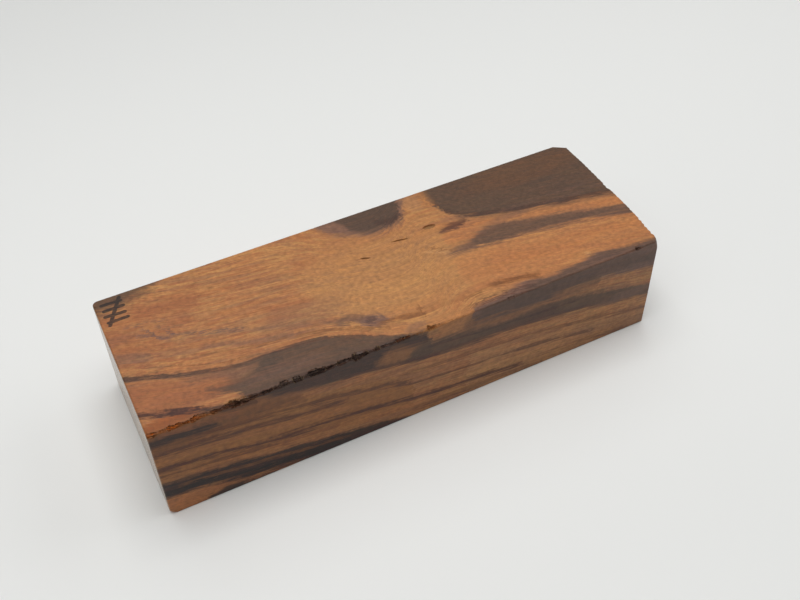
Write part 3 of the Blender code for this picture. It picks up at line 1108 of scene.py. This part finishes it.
# Pores, fibres and streaks.
def fineFigure(at, colour, values):
    colour = wash(at, colour, "pores", at.along.path(values["pores"]))
    fineness = (at.fibre - 0.5) * 0.8 + (at.mottle - 0.5) * 0.8 + (at.strand - 0.5) * 0.45
    fineness = fineness - at.strand.rise(0.50, 0.66) * (0.04 + at.onFront * 0.08)
    warm = (at.streak - 0.5) * 0.45
    red = fineness + warm * 0.8 + 1.0
    green = fineness + warm * 0.5 + 1.0
    return shaded(colour, red, green, fineness + 1.0 - warm * 0.3)


# Sawn end grain is browner and dotted. A thin film of wax lies over the left end, and its pale milky tone is
# painted sheen standing in for the grazing reflection there.
def endFaces(at, colour, values):
    normal = at.graph.split(at.graph.node("ShaderNodeTexCoord", output=1))
    at.endGrain = normal[0].size().rise(0.6, 0.8)
    at.dots = at.graph.noise(at.plainAlong * 0.2, at.across * 3.2, at.down * 3.2)
    shade = 1.0 - at.endGrain * (values["endShade"][0] + at.dots * values["endShade"][1])
    colour = shaded(colour, shade, shade * 0.97, shade * 0.93)
    at.rightEnd = at.endGrain * at.plainAlong.rise(60.0, 100.0)
    at.leftEnd = at.endGrain - at.rightEnd
    # Painted sheen: a pale milky tone over the left end, for its grazing reflection.
    sheenFilm = at.graph.noise(at.plainAlong, at.across * 0.25, at.down * 0.25, detail=3.0)
    return stain(colour, at.leftEnd * (values["waxFilm"][0] + sheenFilm * values["waxFilm"][1]), "waxSheen")


# Torn wood gets painted shade in its recesses and painted highlights where splinters catch the light, and the
# checks and the knot hole are paler than the wood round them.
def tornWood(at, colour, values):
    sides = (at.across.least(width - at.across)).least(height - at.down)
    inside = at.down.least(sides).least(at.plainAlong).least(length - 1.2 - at.plainAlong)
    nearTop = at.down.rise(3.2, 2.2) * at.plainAlong.rise(126.5, 125.5)
    at.torn = inside.rise(0.14, 0.45) * nearTop
    atLeft, further = values["tornShade"]
    # Painted shade in the torn recesses, deeper from 12 to 20 mm on from the left end.
    paintedTornShade = 1.0 - at.torn * (atLeft + at.plainAlong.rise(12.0, 20.0) * further)
    colour = shaded(colour, paintedTornShade, paintedTornShade * 0.97, paintedTornShade * 0.94)
    # Painted highlights where splinter tips in the tears catch the light.
    lit = at.plainAlong.path(values["litTears"])
    colour = stain(colour, at.torn * at.dash.rise(0.40, 0.62) * lit, "litSplinter")
    hollow = inside.rise(0.15, 0.45) * at.across.rise(25.0, 24.0)
    return stain(colour, hollow * nearTop * values["holeStrength"], "hole")


# How far a place is from a straight stroke, in millimetres.
def strokeDistance(along, across, start, end):
    toX, toY = end[0] - start[0], end[1] - start[1]
    long = math.hypot(toX, toY)
    ahead = (along - start[0]) * (toX / long) + (across - start[1]) * (toY / long)
    beside = (along - start[0]) * (toY / long) - (across - start[1]) * (toX / long)
    beyond = (ahead * -1.0).most(ahead - long).most(0.0)
    return (beside * beside + beyond * beyond).root()


# A tally in felt pen, on the top face by the left end.
def tallyInk(at, colour, values):
    ink = None
    frayed = at.plainAlong + (at.mottle - 0.5) * 0.25
    for start, end in values["tally"]:
        far = strokeDistance(frayed, at.across + (at.dash - 0.5) * 0.2, start, end)
        ink = far if ink is None else ink.least(far)
    inked = ink.rise(values["tallyWide"], values["tallyWide"] * 0.6) * at.down.rise(0.3, 0.1)
    least, uneven = values["tallyInk"]
    return stain(colour, inked * (least + at.dash.rise(0.30, 0.60) * uneven), "felt")


def makeIronwood(values):
    material, graph, shader = newMaterial("ironwood")
    at = woodWires(graph, values)
    colour = markedWood(at, plainWood(at, values), values)
    for layer in (fineFigure, endFaces, tornWood, tallyInk):
        colour = layer(at, colour, values)
    roughness = values["roughness"] + (at.fibre - 0.5) * 0.25 + (at.broad - 0.5) * 0.12 + at.torn * 0.3
    roughness = roughness + at.rightEnd * values["sawnRoughens"] - at.leftEnd * values["waxSmooths"]
    coat = at.leftEnd * values["waxCoat"][0]
    roughness = roughness.least(0.9).most(0.2)

    # Relief of the fibres and of the pores.
    relief = (at.fibre - 0.5) * 0.8 - at.dash.rise(0.60, 0.72) * 0.5 + (at.dots - 0.5) * at.endGrain
    strength, depth = values["bump"]
    bump = {"Strength": strength, "Distance": depth * mm, "Height": relief}
    graph.feed(shader, {
        "Base Color": colour, "Roughness": roughness, "Specular IOR Level": values["specular"],
        "Coat Weight": coat, "Coat Roughness": values["waxCoat"][1],
        "Normal": graph.node("ShaderNodeBump", None, bump)})
    return material


print("the block")


# Loose scraps that no longer touch the block are dropped.
def keepLargest(thing):
    shape = openMesh(thing)
    left = set(shape.verts)
    islands = []
    while left:
        island = {left.pop()}
        edge = list(island)
        while edge:
            reached = {other.other_vert(vert) for vert in edge for other in vert.link_edges} - island
            island |= reached
            edge = list(reached)
        left -= island
        islands.append(island)
    islands.sort(key=len)
    for island in islands[:-1]:
        bmesh.ops.delete(shape, geom=list(island), context="VERTS")
    closeMesh(shape, thing.data)
    return len(islands) - 1


# Closes the pinholes that fine cuts can leave.
def mend(thing, reach):
    shape = openMesh(thing)
    bmesh.ops.remove_doubles(shape, verts=shape.verts, dist=reach * mm)
    bmesh.ops.dissolve_degenerate(shape, edges=shape.edges, dist=reach * mm)
    bmesh.ops.delete(shape, geom=[edge for edge in shape.edges if not edge.link_faces], context="EDGES")
    bmesh.ops.holes_fill(shape, edges=[edge for edge in shape.edges if edge.is_boundary])
    bmesh.ops.recalc_face_normals(shape, faces=shape.faces)
    print("edges that don't join two faces", sum(1 for edge in shape.edges if not edge.is_manifold))
    closeMesh(shape, thing.data)


# The sawn faces stay flat-shaded, and only the torn, chipped and eased surfaces are smoothed.
def shadeSurfaces(thing, sharpest, flatArea):
    mesh = thing.data
    mesh.shade_smooth()
    mesh.set_sharp_from_angle(angle=math.radians(sharpest))
    for face in mesh.polygons:
        if face.area > flatArea * mm * mm or max(abs(part) for part in face.normal) > 0.9999:
            face.use_smooth = False


finishValues = {"mendReach": 0.002, "sharpest": 38, "flatArea": 1.2}

ironwood = makeIronwood(woodValues)
margin = blankValues["margin"]
wood = makeBlank(blankValues)
splitCells(wood, blankValues["cell"])
wood.data.materials.append(ironwood)
tornLanes = makeLanes(tornValues)
combine(wood, tornCutter(tornValues, tornLanes, margin), "DIFFERENCE")
for check in checks:
    combine(wood, checkCutter(*check, checkValues), "DIFFERENCE")
combine(wood, grow(chipGuide(), chipTree(chipValues, ironwood), chipValues), "DIFFERENCE")
splinters = splinterGuide(tornValues, tornLanes, splinterPlaces)
grow(splinters, splinterTree(splinterValues, ironwood), splinterValues)
combine(wood, splinters, "UNION", overlapping=True)
sawnEnd = keep("sawn_end_cutter", bmesh.new())
grow(sawnEnd, sawnEndTree(sawnEndValues, margin, ironwood), sawnEndValues)
combine(wood, sawnEnd, "DIFFERENCE")
print("scraps dropped", keepLargest(wood), "faces", len(wood.data.polygons))
mend(wood, finishValues["mendReach"])
shadeSurfaces(wood, finishValues["sharpest"], finishValues["flatArea"])
wood.data.materials.clear()
wood.data.materials.append(ironwood)
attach(wood, "root")
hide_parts("ironwood_block")
